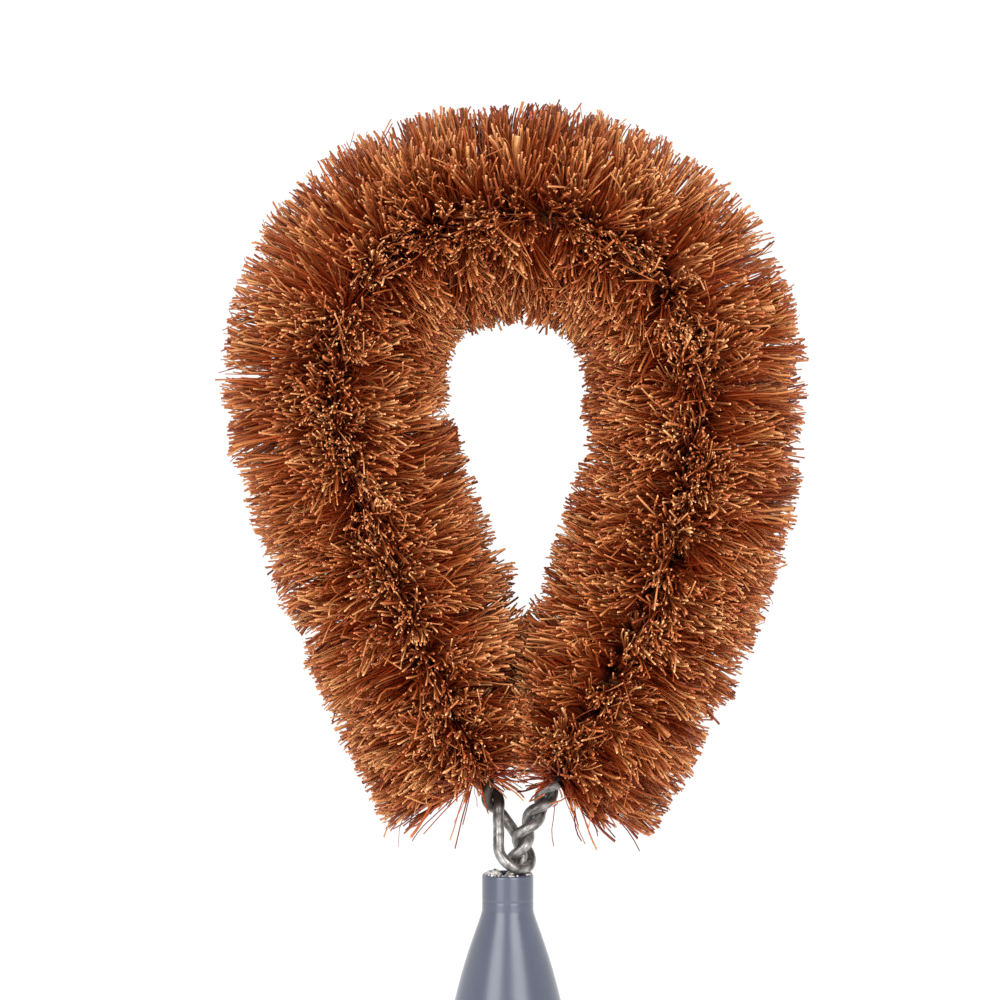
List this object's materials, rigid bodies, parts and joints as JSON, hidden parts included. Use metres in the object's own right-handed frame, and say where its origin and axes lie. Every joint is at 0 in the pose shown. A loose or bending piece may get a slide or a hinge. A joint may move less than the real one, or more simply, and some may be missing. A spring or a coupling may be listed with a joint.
{
  "type": "dish brush",
  "caption": "Dish brush with a pear-shaped loop of palm-fibre bristles on a twisted wire, glued into a moulded handle that narrows to a round neck and has a hang hole.",
  "frame": {"origin": "middle of the flat butt face at the handle's free end", "axes": "+Z along the handle's axis towards the brush head, +X to the right as the picture shows the loop, -Y towards the viewer"},
  "size_m": [0.1039, 0.0406, 0.2678],
  "materials": {
    "handle_plastic": "slate blue-grey moulded plastic, satin to glossy",
    "set_adhesive": "off-white set adhesive",
    "galvanised_wire": "dull galvanised steel wire",
    "palm_fibre": "reddish-brown natural palm fibre, cut ends paler"
  },
  "bodies": {
    "root": {"handle": "handle_plastic", "socket_adhesive": "set_adhesive", "twisted_wire": "galvanised_wire", "bristles_right_leg": "palm_fibre", "bristles_right_crown": "palm_fibre", "bristles_left_crown": "palm_fibre", "bristles_left_leg": "palm_fibre"}
  },
  "joints": []
}
